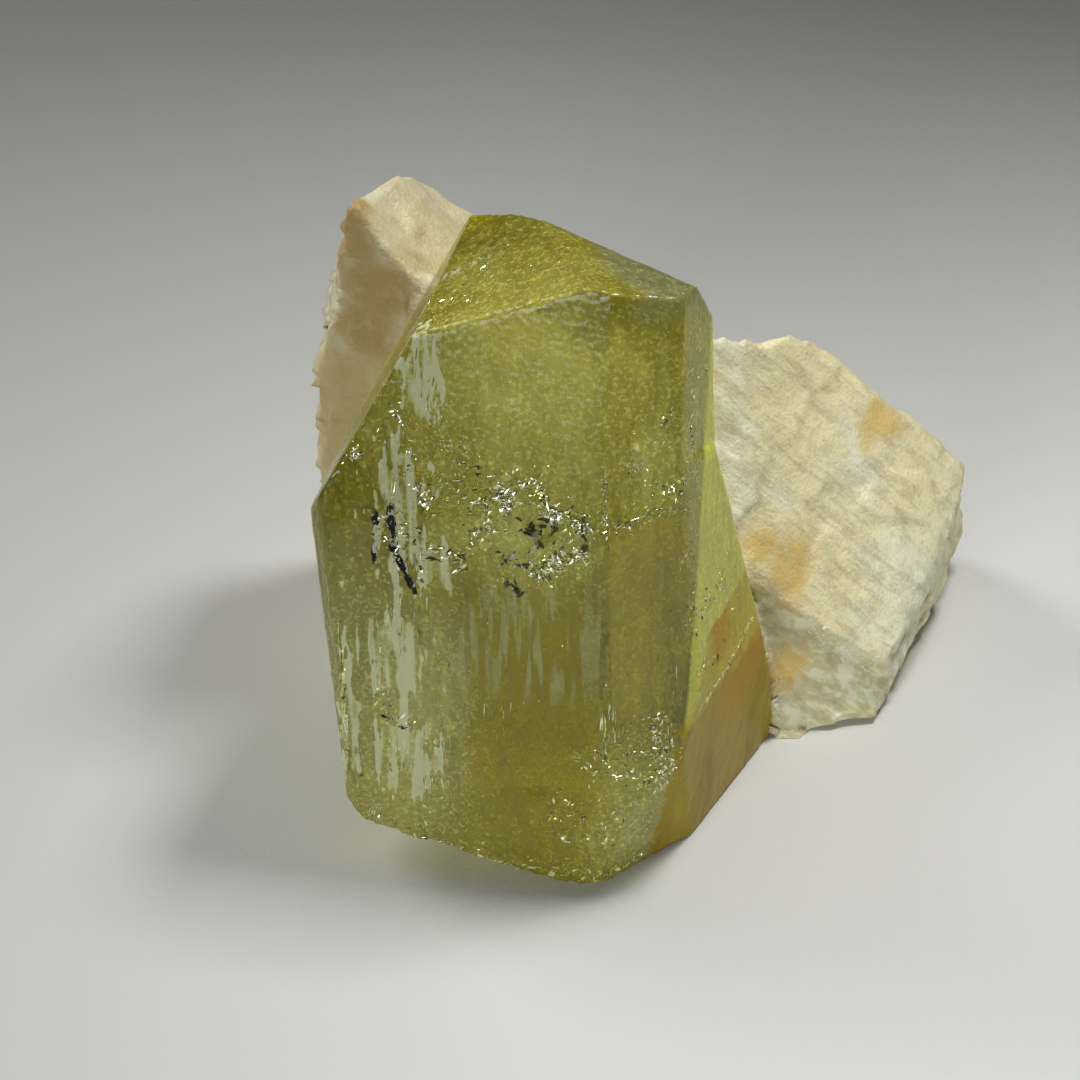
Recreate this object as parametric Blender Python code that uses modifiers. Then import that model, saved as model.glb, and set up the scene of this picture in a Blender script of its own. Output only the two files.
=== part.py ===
"""Brazilianite crystal on a piece of albite.

Metres, +Z up. The crystal faces -Y, leans a little back and stands in front of the rock that it
grew on. The origin ends up on the floor, under the middle of the specimen.
"""
from math import cos, floor, radians, sin

import bmesh
import bpy
from mathutils import Matrix, Vector, noise

MM = 0.001
GAP = 0.3 * MM
MERGE_DISTANCE = 1e-7
ROUGH_CUBE = 90 * MM

# A face is its azimuth and elevation in degrees, and a point on it in millimetres. Azimuth runs
# from the front (-Y) round to the right (+X). A body is what is left of a cube inside its faces.

# The main prism: four long faces towards the front, each with a shoulder that leans back above it,
# two roof faces, and a blunt lower end that stands on its front tip.
PRISM_FACES = {
    "front left": (-12, 7, (-7.0, -9.4, 9.5)),
    "shoulder left": (-12, 17, (-7.7, -6.2, 25.9)),
    "front middle": (22, 9, (0.5, -10.0, 10.6)),
    "shoulder middle": (18, 15, (-0.1, -7.3, 24.8)),
    "right": (66, 7, (2.9, -5.7, 21.7)),
    "left": (-55, 1, (-14.9, -6.8, 13.5)),
    "left back": (-105, -6, (-14.2, -3.9, 9.9)),
    "left slant": (-103, 27, (-11.9, -0.8, 24.8)),
    "roof left": (-89, 69, (-6.3, -0.1, 30.7)),
    "roof right": (131, 75, (-0.6, -3.6, 31.6)),
    "crest back": (143, 31, (-2.8, 2.7, 28.6)),
    "crest left": (169, 44, (-7.5, 4.9, 29.5)),
    "right back": (118, -4, (2.0, -1.4, 12.6)),
    "back": (176, -8, (-4.1, 4.4, 14.4)),
    "back left": (-148, -6, (-9.5, 3.7, 18.8)),
    "lower end": (-148, -76, (-6.1, -4.9, 2.0)),
    "front toe": (10, -38, (-0.9, -11.5, 0.8)),
    "left heel": (-70, -42, (-14.1, -8.2, 2.7)),
    "right toe": (38, -9, (0.4, -9.8, 0.3)),
    "right heel": (60, -3, (3.1, -7.6, 0.3)),
    "sole": (0, -90, (0.0, 0.0, 0.0)),
}

# The lower right flank: a second growth beside the prism, with its own bevelled edges.
FLANK_FACES = {
    "flank front": (63, 8, (4.2, -5.8, 14.3)),
    "flank nose": (22, 9, (0.5, -9.8, 10.6)),
    "flank upper side": (104, 14, (4.7, -3.5, 18.4)),
    "flank lower side": (104, 10, (7.0, -2.0, 9.1)),
    "flank cap": (92, 58, (3.8, -4.0, 22.3)),
    "flank heel": (60, -3, (3.2, -7.6, 0.3)),
    "flank toe": (38, -9, (0.5, -9.7, 0.3)),
    "flank back": (165, -4, (0.3, 4.4, 4.4)),
    "flank back cap": (160, 45, (3.0, -0.5, 20.0)),
    "flank inside": (-80, -6, (0.6, -4.0, 12.0)),
    "flank sole": (0, -90, (0.0, 0.0, 0.0)),
}

# Steps between growth layers: shallow strips missing from a face, running along the prism and fading
# towards one corner. Each is a face, the strip's centre in millimetres, its width, length and
# depth, and its turn in degrees.
STEP_RIM = 0.5 * MM
GROWTH_STEPS = [
    ("front left", (-13.4, -8.3, 7.0), 3.6, 17.0, 0.28, 2),
    ("front left", (-9.2, -9.2, 6.0), 2.2, 14.0, 0.18, -1),
    ("front left", (-4.6, -9.6, 11.0), 1.4, 11.0, 0.14, 1),
    ("front left", (-2.0, -10.2, 5.2), 1.6, 12.0, 0.16, -1),
    ("shoulder left", (-13.0, -5.9, 21.6), 2.8, 8.5, 0.24, -12),
    ("shoulder middle", (1.0, -7.4, 23.8), 1.3, 8.5, 0.14, 1),
    ("front middle", (0.3, -10.0, 8.4), 1.3, 11.0, 0.16, 1),
    ("roof left", (-9.0, -1.2, 30.9), 2.2, 4.0, 0.14, 8),
]

# Chips and etched hollows: centre and radii along X, Y and Z, in millimetres, and a turn in degrees.
CHIP_UNEVENNESS = 0.18
CHIP_WAVES = 1.7
CHIPS = {
    "hollow above the break": ((-4.7, -8.6, 21.0), (0.9, 0.7, 1.1), 20),
    "hollow under the break": ((-5.9, -9.2, 17.3), (0.8, 0.7, 1.0), -30),
    "crack in the white patch": ((-12.1, -7.9, 18.8), (0.6, 0.8, 2.2), 15),
    "chip on the lower left edge": ((-12.6, -9.9, 1.2), (2.0, 1.3, 0.8), 10),
    "chip beside the toe": ((-8.6, -10.9, 0.2), (1.6, 1.2, 0.8), 25),
    "chip on the right edge": ((5.6, -2.7, 19.7), (0.7, 1.3, 1.4), 30),
    "chip at the roof's right end": ((4.1, -3.4, 30.9), (0.9, 1.2, 0.7), 40),
    "chip at the left corner": ((-16.4, -5.6, 21.0), (0.8, 1.2, 1.2), 0),
    "chip on the ridge": ((-4.6, 1.9, 32.1), (1.1, 1.4, 0.6), 35),
    "chip on the crest": ((-8.6, 3.4, 31.5), (1.2, 1.4, 0.8), 15),
}

# The rock: a sloping slab to the right and a tall blade to the left, meeting behind the crystal.
SLAB_FACES = {
    "slab top": (42, 37, (7.5, 6.7, 14.1)),
    "slab front": (14, 12, (3.0, -0.4, 5.7)),
    "slab right end": (66, -3, (16.0, 6.0, 3.3)),
    "slab right corner": (72, -1, (18.6, 12.2, 5.1)),
    "slab far end": (156, 23, (16.0, 14.6, 7.2)),
    "slab back": (-159, 13, (2.4, 11.4, 9.9)),
    "slab underside": (90, -81, (8.4, 8.6, -0.3)),
    "slab inside": (-90, 0, (-8.0, 2.3, 10.2)),
}
BLADE_FACES = {
    "blade front": (-18, 4, (-9.2, 2.8, 15.7)),
    "blade top": (72, 43, (-6.8, 7.8, 23.7)),
    "blade top back": (150, 41, (-9.6, 11.4, 26.7)),
    "blade top left": (-126, 29, (-13.7, 9.9, 26.0)),
    "blade upper left": (-94, 11, (-15.5, 7.7, 23.3)),
    "blade lower left": (-97, -3, (-15.4, 10.3, 11.8)),
    "blade back": (172, 8, (-7.3, 13.3, 15.1)),
    "blade underside": (0, -90, (0.0, 0.0, -1.0)),
    "blade inside": (90, 20, (3.0, 5.6, 8.8)),
}

# Missing pieces of the rock's outline, where it broke along its cleavage.
ROCK_CHIPS = {
    "notch near the blade's top": ((-15.3, 6.0, 27.3), (0.9, 3.0, 0.7), 0),
    "notch under it": ((-16.2, 6.5, 24.4), (1.1, 3.0, 1.6), 10),
    "notch at the blade's middle": ((-17.3, 7.0, 16.3), (1.3, 4.0, 1.2), -10),
    "hollow behind the blade": ((-9.0, 17.5, 20.0), (4.0, 3.0, 4.5), 20),
    "step behind the slab": ((8.0, 19.0, 12.0), (5.5, 3.0, 3.0), -25),
    "break at the slab's far corner": ((20.8, 12.5, 10.6), (2.0, 3.0, 1.6), 20),
    "hollow under the slab's end": ((17.5, 3.0, -1.2), (4.0, 3.5, 2.2), 15),
}

# The rock's broken surface. Its ledges follow the cleavage, which is parallel to the slab's top.
VOXEL = 0.62 * MM
TRIANGLES_KEPT = 0.26
LUMP_HEIGHT = 0.26 * MM
LUMP_SIZE = 5.0 * MM
LUMP_ROUGHNESS = 0.8
LUMP_OCTAVES = 3
GRAIN_HEIGHT = 0.13 * MM
GRAIN_SIZE = 1.2 * MM
LEDGE_SPACING = 1.7 * MM
LEDGE_DEPTH = 0.26 * MM
LEDGE_WANDER = 0.9


def face_direction(azimuth, elevation):
    """Unit vector that a face with this azimuth and elevation looks along."""
    flat = cos(radians(elevation))
    return Vector((sin(radians(azimuth)) * flat, -cos(radians(azimuth)) * flat, sin(radians(elevation))))


def new_object(name, mesh_builder):
    """Object with the mesh that a bmesh function makes."""
    mesh = bpy.data.meshes.new(name)
    working = bmesh.new()
    mesh_builder(working)
    bmesh.ops.recalc_face_normals(working, faces=working.faces)
    working.to_mesh(mesh)
    working.free()
    made = bpy.data.objects.new(name, mesh)
    bpy.context.scene.collection.objects.link(made)
    return made


def faceted_body(name, faces, growth=0.0):
    """Convex body inside a set of faces, each moved outwards by growth."""
    def build(working):
        bmesh.ops.create_cube(working, size=ROUGH_CUBE)
        for azimuth, elevation, point in faces.values():
            outward = face_direction(azimuth, elevation)
            bmesh.ops.bisect_plane(
                working, geom=working.verts[:] + working.edges[:] + working.faces[:],
                dist=MERGE_DISTANCE, plane_co=Vector(point) * MM + outward * growth,
                plane_no=outward, clear_outer=True)
            rim = [edge for edge in working.edges if edge.is_boundary]
            bmesh.ops.holes_fill(working, edges=rim)
        bmesh.ops.remove_doubles(working, verts=working.verts, dist=MERGE_DISTANCE)
    return new_object(name, build)


def step_cutter(face, centre, width, length, depth, turn):
    """Shallow wedge over a prism face, deepest at one lower corner and nothing at the opposite one."""
    azimuth, elevation, _ = PRISM_FACES[face]
    outward = face_direction(azimuth, elevation)
    across = Vector((0, 0, 1)).cross(outward).normalized()
    frame = Matrix((across, outward.cross(across), outward)).transposed().to_4x4()

    def build(working):
        for corner in bmesh.ops.create_cube(working, size=1.0)["verts"]:
            fade = 0.5 - (corner.co.x + corner.co.y) / 2
            outside = corner.co.z > 0
            corner.co.x *= width * MM + (STEP_RIM if outside else 0)
            corner.co.y *= length * MM + (2 * STEP_RIM if outside else 0)
            corner.co.z = STEP_RIM if outside else -depth * MM * fade
    cutter = new_object("step", build)
    place = Matrix.Translation(on_face(face, centre))
    cutter.data.transform(place @ frame @ Matrix.Rotation(radians(turn), 4, "Z"))
    return cutter


def on_face(face, near):
    """The point of a prism face that is straight out from a point near it."""
    azimuth, elevation, point = PRISM_FACES[face]
    outward = face_direction(azimuth, elevation)
    near = Vector(near) * MM
    return near + outward * outward.dot(Vector(point) * MM - near)


def rounded_cutter(name, centre, radii, turn):
    """Low ellipsoid, for a shell-shaped chip or a hollow."""
    def build(working):
        bmesh.ops.create_icosphere(working, subdivisions=2, radius=1.0)
        for corner in working.verts:
            corner.co *= 1 + CHIP_UNEVENNESS * noise.noise(corner.co * CHIP_WAVES + Vector(centre))
    cutter = new_object(name, build)
    stretch = Matrix.Diagonal((*[radius * MM for radius in radii], 1))
    cutter.data.transform(Matrix.Rotation(radians(turn), 4, "Z") @ stretch)
    cutter.data.transform(Matrix.Translation(Vector(centre) * MM))
    return cutter


def combine(target, other, operation):
    """Boolean of two bodies, kept in the first one."""
    step = target.modifiers.new(operation.title(), "BOOLEAN")
    step.operation = operation
    step.solver = "EXACT"
    step.object = other
    apply_modifiers(target)
    bpy.data.objects.remove(other)


def apply_modifiers(target):
    """Replace an object's mesh with its evaluated one."""
    evaluated = target.evaluated_get(bpy.context.evaluated_depsgraph_get())
    mesh = bpy.data.meshes.new_from_object(evaluated)
    target.modifiers.clear()
    target.data = mesh


def build_crystal(name, growth=0.0):
    """Prism and flank as one body, larger all round by growth."""
    crystal = faceted_body(name, PRISM_FACES, growth)
    combine(crystal, faceted_body("flank", FLANK_FACES, growth), "UNION")
    return crystal


def roughen_rock(rock):
    """Lumps, grain and the ledges that albite's cleavage leaves on a broken face."""
    azimuth, elevation, _ = SLAB_FACES["slab top"]
    cleavage = face_direction(azimuth, elevation)
    normals = [corner.normal.copy() for corner in rock.data.vertices]
    for corner, normal in zip(rock.data.vertices, normals):
        place = corner.co.copy()
        lump = noise.fractal(place / LUMP_SIZE, LUMP_ROUGHNESS, 2.0, LUMP_OCTAVES) * LUMP_HEIGHT
        grain = noise.noise(place / GRAIN_SIZE) * GRAIN_HEIGHT
        level = place.dot(cleavage) / LEDGE_SPACING + LEDGE_WANDER * noise.noise(place / LUMP_SIZE)
        ledge = (level - floor(level) - 0.5) * LEDGE_DEPTH
        corner.co = place + normal * (lump + grain + ledge)


def build_rock(name):
    """Slab and blade as one rough body, flat underneath, with a seat for the crystal."""
    rock = faceted_body(name, SLAB_FACES)
    combine(rock, faceted_body("blade", BLADE_FACES), "UNION")
    for chip, (centre, radii, turn) in ROCK_CHIPS.items():
        combine(rock, rounded_cutter(chip, centre, radii, turn), "DIFFERENCE")
    grain = rock.modifiers.new("Even grain", "REMESH")
    grain.mode = "VOXEL"
    grain.voxel_size = VOXEL
    apply_modifiers(rock)
    roughen_rock(rock)
    fewer = rock.modifiers.new("Fewer triangles", "DECIMATE")
    fewer.ratio = TRIANGLES_KEPT
    apply_modifiers(rock)
    bpy.ops.mesh.primitive_cube_add(size=ROUGH_CUBE, location=(0, 0, -ROUGH_CUBE / 2))
    combine(rock, bpy.context.object, "DIFFERENCE")
    combine(rock, build_crystal("seat", GAP), "DIFFERENCE")
    return rock


def give_material(target, name, colour, roughness, transmission=0.0, ior=1.5):
    """Principled material with the piece's own colour and gloss."""
    material = bpy.data.materials.new(name)
    material.use_nodes = True
    shader = material.node_tree.nodes["Principled BSDF"]
    shader.inputs["Base Color"].default_value = (*colour, 1)
    shader.inputs["Roughness"].default_value = roughness
    shader.inputs["Metallic"].default_value = 0.0
    shader.inputs["Transmission Weight"].default_value = transmission
    shader.inputs["IOR"].default_value = ior
    target.data.materials.clear()
    target.data.materials.append(material)


def stand_on_origin(pieces):
    """Move the pieces together, so that the origin is under their middle, on the floor."""
    places = [corner.co for piece in pieces for corner in piece.data.vertices]
    low = Vector([min(place[axis] for place in places) for axis in range(3)])
    high = Vector([max(place[axis] for place in places) for axis in range(3)])
    shift = Matrix.Translation((-(low.x + high.x) / 2, -(low.y + high.y) / 2, -low.z))
    for piece in pieces:
        piece.data.transform(shift)


for leftover in list(bpy.data.objects):
    bpy.data.objects.remove(leftover)

crystal = build_crystal("brazilianite_crystal")
for step in GROWTH_STEPS:
    combine(crystal, step_cutter(*step), "DIFFERENCE")
for chip, (centre, radii, turn) in CHIPS.items():
    combine(crystal, rounded_cutter(chip, centre, radii, turn), "DIFFERENCE")
give_material(crystal, "brazilianite", (0.42, 0.43, 0.06), 0.12, transmission=0.9, ior=1.6)

rock = build_rock("albite_matrix")
give_material(rock, "albite", (0.72, 0.64, 0.50), 0.6)

stand_on_origin([crystal, rock])
specimen = bpy.data.collections.new("brazilianite_on_albite")
bpy.context.scene.collection.children.link(specimen)
for piece in (crystal, rock):
    bpy.context.scene.collection.objects.unlink(piece)
    specimen.objects.link(piece)
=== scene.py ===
"""A brazilianite crystal on albite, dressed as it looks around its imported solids.

Metres, +Z up. The crystal's front faces -Y.
"""
import random
from math import cos, radians, sin

import bpy
import numpy as np
from mathutils import Matrix, Vector, noise
from mathutils.bvhtree import BVHTree


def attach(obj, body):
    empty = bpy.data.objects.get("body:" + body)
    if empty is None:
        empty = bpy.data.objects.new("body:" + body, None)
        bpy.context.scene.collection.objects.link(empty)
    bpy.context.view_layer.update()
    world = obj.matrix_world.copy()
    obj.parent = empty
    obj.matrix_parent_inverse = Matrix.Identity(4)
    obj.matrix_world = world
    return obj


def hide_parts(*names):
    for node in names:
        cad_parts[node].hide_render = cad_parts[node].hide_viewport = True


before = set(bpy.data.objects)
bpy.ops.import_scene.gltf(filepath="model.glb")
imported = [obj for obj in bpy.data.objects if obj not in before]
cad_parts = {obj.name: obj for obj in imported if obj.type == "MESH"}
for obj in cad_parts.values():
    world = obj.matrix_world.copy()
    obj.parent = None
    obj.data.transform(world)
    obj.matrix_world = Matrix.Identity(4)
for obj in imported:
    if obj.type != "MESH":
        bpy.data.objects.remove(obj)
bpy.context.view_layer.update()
bpy.ops.object.select_all(action="DESELECT")

# The rock is one broken piece of albite, a cream to pinkish feldspar. Its surface is sugary,
# streaked along the cleavage, stained with iron in its hollows and torn into ledges on its tall
# blade. The crystal grew on it, so it closes up to the crystal's back.
MM = 0.001
ROCK_VOXEL = 0.21 * MM
ROCK_GRAIN = ((0.07, 2.4), (0.03, 0.9))
CRUMB_LIFT = 0.02 * MM
CRUMB_SIZE = 0.55 * MM
STREAK_LIFT = 0.035 * MM
STREAK_WIDTH = 0.6 * MM
STREAK_LENGTH = 4.0 * MM
SLAB_TOP = (42, 37)
STREAK_DIRECTION = Vector((0.735, -0.028, -0.678))
TEETH_DEPTH = 0.85 * MM
TEETH_SIZE = 1.6 * MM
TEETH_DRAW = 0.3
TEETH_WANDER = 1.2
TEETH_PATCH = 3.0 * MM
TEETH_TURN = 0.2
RIM_LIFT = 2.0 * MM
RIM_SIZE = 1.1 * MM
RIM_TURN = 0.62
LEDGE_POINT = Vector((12.7, -1.8, 3.4)) * MM
LEDGE_DOWN = Vector((-0.53, -0.50, -0.68)).normalized()
LEDGE_FRONT = (10, 30)
LEDGE_DROP = 0.45 * MM
LEDGE_WIDTH = 0.6 * MM
CONTACT_REACH = 0.85 * MM
CONTACT_FADE = 0.4 * MM
CONTACT_OVERLAP = 0.18 * MM
UNDERSIDE = 0.6
CREAM = (0.97, 0.88, 0.50)
PALE = (0.99, 0.96, 0.72)
SAND = (0.62, 0.52, 0.30)
STAIN = (0.84, 0.62, 0.22)
RUST_BROWN = (0.46, 0.26, 0.03)
BROWN_AND_SHADE = (0.48, 0.32, 0.06)
FRONT_GREY_AND_SHADE = (0.78, 0.72, 0.40)


def facing(azimuth, elevation):
    """Unit vector, this many degrees from the front round to the right, and up."""
    flat = cos(radians(elevation))
    return Vector((sin(radians(azimuth)) * flat, -cos(radians(azimuth)) * flat, sin(radians(elevation))))


def select_only(piece):
    """Make one piece the active and only selected one."""
    bpy.ops.object.select_all(action="DESELECT")
    piece.select_set(True)
    bpy.context.view_layer.objects.active = piece


def copy_of_solid(node, name):
    """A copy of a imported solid, its loose triangles joined."""
    piece = bpy.data.objects.new(name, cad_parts[node].data.copy())
    bpy.context.scene.collection.objects.link(piece)
    piece.data.materials.clear()
    select_only(piece)
    bpy.ops.object.mode_set(mode="EDIT")
    bpy.ops.mesh.select_all(action="SELECT")
    bpy.ops.mesh.remove_doubles(threshold=1e-6)
    bpy.ops.object.mode_set(mode="OBJECT")
    return piece


def apply_new_modifier(piece, kind, **settings):
    """Give a piece a modifier and apply it."""
    select_only(piece)
    added = piece.modifiers.new(kind.title(), kind)
    for setting, value in settings.items():
        setattr(added, setting, value)
    bpy.ops.object.modifier_apply(modifier=added.name)


def tree_of(node):
    """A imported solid, ready to be asked for its nearest point."""
    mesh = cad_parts[node].data
    return BVHTree.FromPolygons([v.co for v in mesh.vertices], [p.vertices[:] for p in mesh.polygons])


def push_surface(piece, height_at):
    """Move every vertex along its normal by a height, read from its place and normal."""
    count = len(piece.data.vertices)
    places = np.empty(count * 3)
    normals = np.empty(count * 3)
    piece.data.vertices.foreach_get("co", places)
    piece.data.vertex_normals.foreach_get("vector", normals)
    places = places.reshape(-1, 3)
    normals = normals.reshape(-1, 3)
    heights = np.array([height_at(Vector(p), Vector(n)) for p, n in zip(places, normals)])
    piece.data.vertices.foreach_set("co", (places + normals * heights[:, None]).ravel())
    piece.data.update()


class Value:
    """A node's output that takes part in sums."""

    def __init__(self, finish, socket):
        self.finish = finish
        self.socket = socket

    def sum_with(self, operation, first, second):
        return self.finish.node("Math", {"operation": operation}, [first, second])

    def __add__(self, other):
        return self.sum_with("ADD", self, other)

    def __sub__(self, other):
        return self.sum_with("SUBTRACT", self, other)

    def __rsub__(self, other):
        return self.sum_with("SUBTRACT", other, self)

    def __mul__(self, other):
        return self.sum_with("MULTIPLY", self, other)

    def __or__(self, other):
        return self.sum_with("MAXIMUM", self, other)

    __radd__ = __add__
    __rmul__ = __mul__

    def between(self, low, high):
        """0 at low and 1 at high, smooth, and level outside."""
        settings = {"interpolation_type": "SMOOTHSTEP"}
        values = {"Value": self, "From Min": low, "From Max": high}
        return self.finish.node("MapRange", settings, values)


class Finish:
    """One material, built node by node. Its place is the Object coordinate in millimetres."""

    def __init__(self, name):
        self.material = bpy.data.materials.new(name)
        self.material.use_nodes = True
        self.nodes = self.material.node_tree.nodes
        self.links = self.material.node_tree.links
        self.nodes.clear()
        self.output = self.nodes.new("ShaderNodeOutputMaterial")
        coordinates = self.nodes.new("ShaderNodeTexCoord")
        self.place = self.scaled(Value(self, coordinates.outputs["Object"]), 1.0 / MM)

    def node(self, kind, settings=(), values=(), output=0):
        """Add a node, set it, fill its sockets with values or links, and give back an output."""
        made = self.nodes.new("ShaderNode" + kind)
        for setting, value in dict(settings).items():
            setattr(made, setting, value)
        given = dict(enumerate(values)) if isinstance(values, list) else dict(values)
        for socket, value in given.items():
            if isinstance(value, Value):
                self.links.new(value.socket, made.inputs[socket])
            else:
                made.inputs[socket].default_value = value
        return Value(self, made.outputs[output])

    def vector(self, operation, first, second):
        return self.node("VectorMath", {"operation": operation}, [first, second])

    def scaled(self, vector, amount):
        return self.node("VectorMath", {"operation": "SCALE"}, {0: vector, "Scale": amount})

    def noise(self, scale, detail=3.0, rough=0.55, place=None):
        """Noise with this many waves a millimetre."""
        values = {"Vector": place or self.place, "Scale": scale, "Detail": detail, "Roughness": rough}
        return self.node("TexNoise", {}, values)

    def cells(self, scale):
        """Distance to the nearest of scattered points, this many to a millimetre."""
        return self.node("TexVoronoi", {"feature": "F1"}, {"Vector": self.place, "Scale": scale})

    def stretched(self, turn, scale):
        """The place, turned and then scaled along each axis."""
        turned = {"Vector": self.place, "Rotation": turn, "Scale": scale}
        return self.node("Mapping", {"vector_type": "TEXTURE"}, turned)

    def ragged(self, amount, scale, detail=3.0):
        """The place pushed about by noise, up to this many millimetres, for uneven outlines."""
        values = {"Vector": self.place, "Scale": scale, "Detail": detail}
        wander = self.node("TexNoise", {}, values, output="Color")
        wander = self.vector("SUBTRACT", wander, (0.5, 0.5, 0.5))
        return self.vector("ADD", self.place, self.scaled(wander, 2.0 * amount))

    def near(self, centre, radii, edge=0.5, place=None):
        """1 inside an ellipsoid given in millimetres, fading to 0 across its edge."""
        away = self.vector("DIVIDE", self.vector("SUBTRACT", place or self.place, centre), radii)
        distance = self.node("VectorMath", {"operation": "LENGTH"}, [away], output="Value")
        return distance.between(1.0 + edge, 1.0 - edge)

    def spots(self, places, edge=0.5, place=None):
        """1 inside any of several ellipsoids."""
        most = None
        for centre, radii in places:
            share = self.near(centre, radii, edge, place)
            most = share if most is None else most | share
        return most

    def beyond(self, point, direction, edge, place=None):
        """0 before a plane through a point, 1 beyond it, fading across its edge in millimetres."""
        away = self.vector("SUBTRACT", place or self.place, point)
        dot = {"operation": "DOT_PRODUCT"}
        distance = self.node("VectorMath", dot, [away, Vector(direction).normalized()], output="Value")
        return distance.between(-edge, edge)

    def blend(self, share, first, second):
        """Two colours mixed by a share."""
        first = first if isinstance(first, Value) else (*first, 1.0)
        second = second if isinstance(second, Value) else (*second, 1.0)
        return self.node("Mix", {"data_type": "RGBA"}, {0: share, 6: first, 7: second}, output=2)

    def bump(self, height, depth, strength=1.0):
        """Normal of a fine relief, its depth in metres."""
        return self.node("Bump", {}, {"Strength": strength, "Distance": depth, "Height": height})

    def surface(self, shader):
        self.links.new(shader.socket, self.output.inputs["Surface"])


rock = copy_of_solid("albite_matrix", "albite")
apply_new_modifier(rock, "REMESH", mode="VOXEL", voxel_size=ROCK_VOXEL)
slab_normal = facing(*SLAB_TOP)
ledge_front = facing(*LEDGE_FRONT)
streak_across = slab_normal.cross(STREAK_DIRECTION).normalized()
crystal_tree = tree_of("brazilianite_crystal")


def rock_height(place, normal):
    """Sugary lumps, streaks along the cleavage, torn ledges and contact with the crystal."""
    if place.z < UNDERSIDE * ROCK_VOXEL:
        return 0.0
    near_point, near_normal, near_index, gap = crystal_tree.find_nearest(place, CONTACT_REACH)
    closeness = 0.0
    if near_point is not None and gap > 0.0:
        turned_to = normal.dot(near_point - place) / gap
        facing_it = min(1.0, max(0.0, 2.0 * turned_to - 0.5))
        closeness = min(1.0, (CONTACT_REACH - gap) / CONTACT_FADE) * facing_it
    height = sum(lift * noise.noise(place / (size * MM)) for lift, size in ROCK_GRAIN) * MM
    along = Vector((place.dot(STREAK_DIRECTION) / STREAK_LENGTH, place.dot(streak_across) / STREAK_WIDTH,
                    place.dot(slab_normal) / STREAK_WIDTH))
    height += STREAK_LIFT * noise.noise(along)
    height -= CRUMB_LIFT * noise.voronoi(place / CRUMB_SIZE)[0][0]
    if place.x > 0.0:
        past = (place - LEDGE_POINT).dot(LEDGE_DOWN) / LEDGE_WIDTH
        height -= LEDGE_DROP * min(1.0, max(0.0, past)) * max(0.0, normal.dot(ledge_front))
        height += RIM_LIFT * max(0.0, normal.x - RIM_TURN) * min(0.0, noise.noise(place / RIM_SIZE))
    else:
        along_ledges = Vector((0.0, place.y * TEETH_DRAW, place.z)) / TEETH_SIZE
        tooth = place.z / TEETH_SIZE + TEETH_WANDER * noise.noise(along_ledges)
        depth = TEETH_DEPTH * (1.0 + noise.noise(place / TEETH_PATCH))
        height -= depth * max(0.0, -normal.x - TEETH_TURN) * (tooth % 1.0)
    return height * (1.0 - closeness) + (gap + CONTACT_OVERLAP) * closeness if closeness else height


push_surface(rock, rock_height)
bpy.ops.object.shade_smooth()

albite = Finish("albite")
broad = albite.noise(0.16, 2.0, 0.6)
fine = albite.noise(1.1, 3.0, 0.65)
sugar = albite.cells(5.0)
glaze = albite.noise(3.2, 2.0, 0.7)
along_cleavage = albite.stretched((0.0, radians(42.7), radians(-2.2)), (7.0, 1.0, 1.0))
bands = albite.noise(1.7, 2.0, 0.7, along_cleavage)
skin = albite.blend(broad.between(0.38, 0.62), CREAM, PALE)
skin = albite.blend(bands.between(0.48, 0.64) * 0.5, skin, SAND)
skin = albite.blend(glaze.between(0.46, 0.66) * 0.55, skin, PALE)
skin = albite.blend(fine.between(0.54, 0.40) * 0.3, skin, SAND)
uneven = albite.ragged(1.0, 0.6, 1.0)
BLADE_SHADE = [((-15.6, 1.2, 24.5), (2.6, 1.3, 5.0)), ((-16.5, 1.2, 18.5), (2.2, 1.6, 5.0))]
RUST = [
    ((12.2, 7.3, 12.9), (1.5, 1.6, 1.0)),
    ((7.0, -0.4, 9.5), (1.4, 1.8, 1.9)),
    ((5.6, -1.0, 11.5), (1.2, 1.4, 1.5)),
    ((-15.4, 1.8, 28.9), (1.2, 1.6, 2.4)),
    ((-13.9, 1.5, 25.6), (2.0, 1.6, 1.9)),
    ((-15.0, 1.6, 23.2), (1.0, 1.5, 1.2)),
    ((6.9, -2.8, 4.2), (1.2, 2.0, 1.3)),
]
# The blade's face turned away from the lamps is painted brown: partly its own brown tint, partly painted
# shade.
skin = albite.blend(albite.spots(BLADE_SHADE, 0.5, uneven) * 0.75, skin, BROWN_AND_SHADE)
on_blade = albite.beyond((-9.0, 0.0, 0.0), (-1.0, 0.0, 0.0), 2.0)
stain = albite.blend(on_blade, STAIN, RUST_BROWN)
# The slab's front face, turned down and away from the light, is painted a darker cream: partly its greyer
# tone, partly painted shade.
slab_front = albite.beyond(LEDGE_POINT / MM, LEDGE_DOWN, 0.25)
slab_front = slab_front * albite.beyond((0.0, 0.0, 0.0), (1.0, 0.0, 0.0), 2.0)
skin = albite.blend(slab_front * 0.8, skin, FRONT_GREY_AND_SHADE)
along_ledge = albite.stretched((0.0, radians(28.0), radians(-30.0)), (7.0, 1.0, 1.0))
front_streaks = albite.noise(1.4, 2.0, 0.65, along_ledge)
skin = albite.blend(slab_front * front_streaks.between(0.50, 0.60) * 0.9, skin, PALE)
skin = albite.blend(slab_front * front_streaks.between(0.48, 0.36) * 0.6, skin, SAND)
skin = albite.blend(albite.spots(RUST, 0.5, uneven) * fine.between(0.24, 0.50), skin, stain)
skin = albite.blend(on_blade * 0.38, skin, SAND)
grain = glaze * 0.9 + bands * 0.7 - sugar * 0.35
rock_shader = albite.node("BsdfPrincipled", {}, {
    "Base Color": skin, "Roughness": 0.45, "Normal": albite.bump(grain, 0.10 * MM, 0.8)})
albite.surface(rock_shader)
rock.data.materials.append(albite.material)
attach(rock, "root")
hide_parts("albite_matrix")

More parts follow.
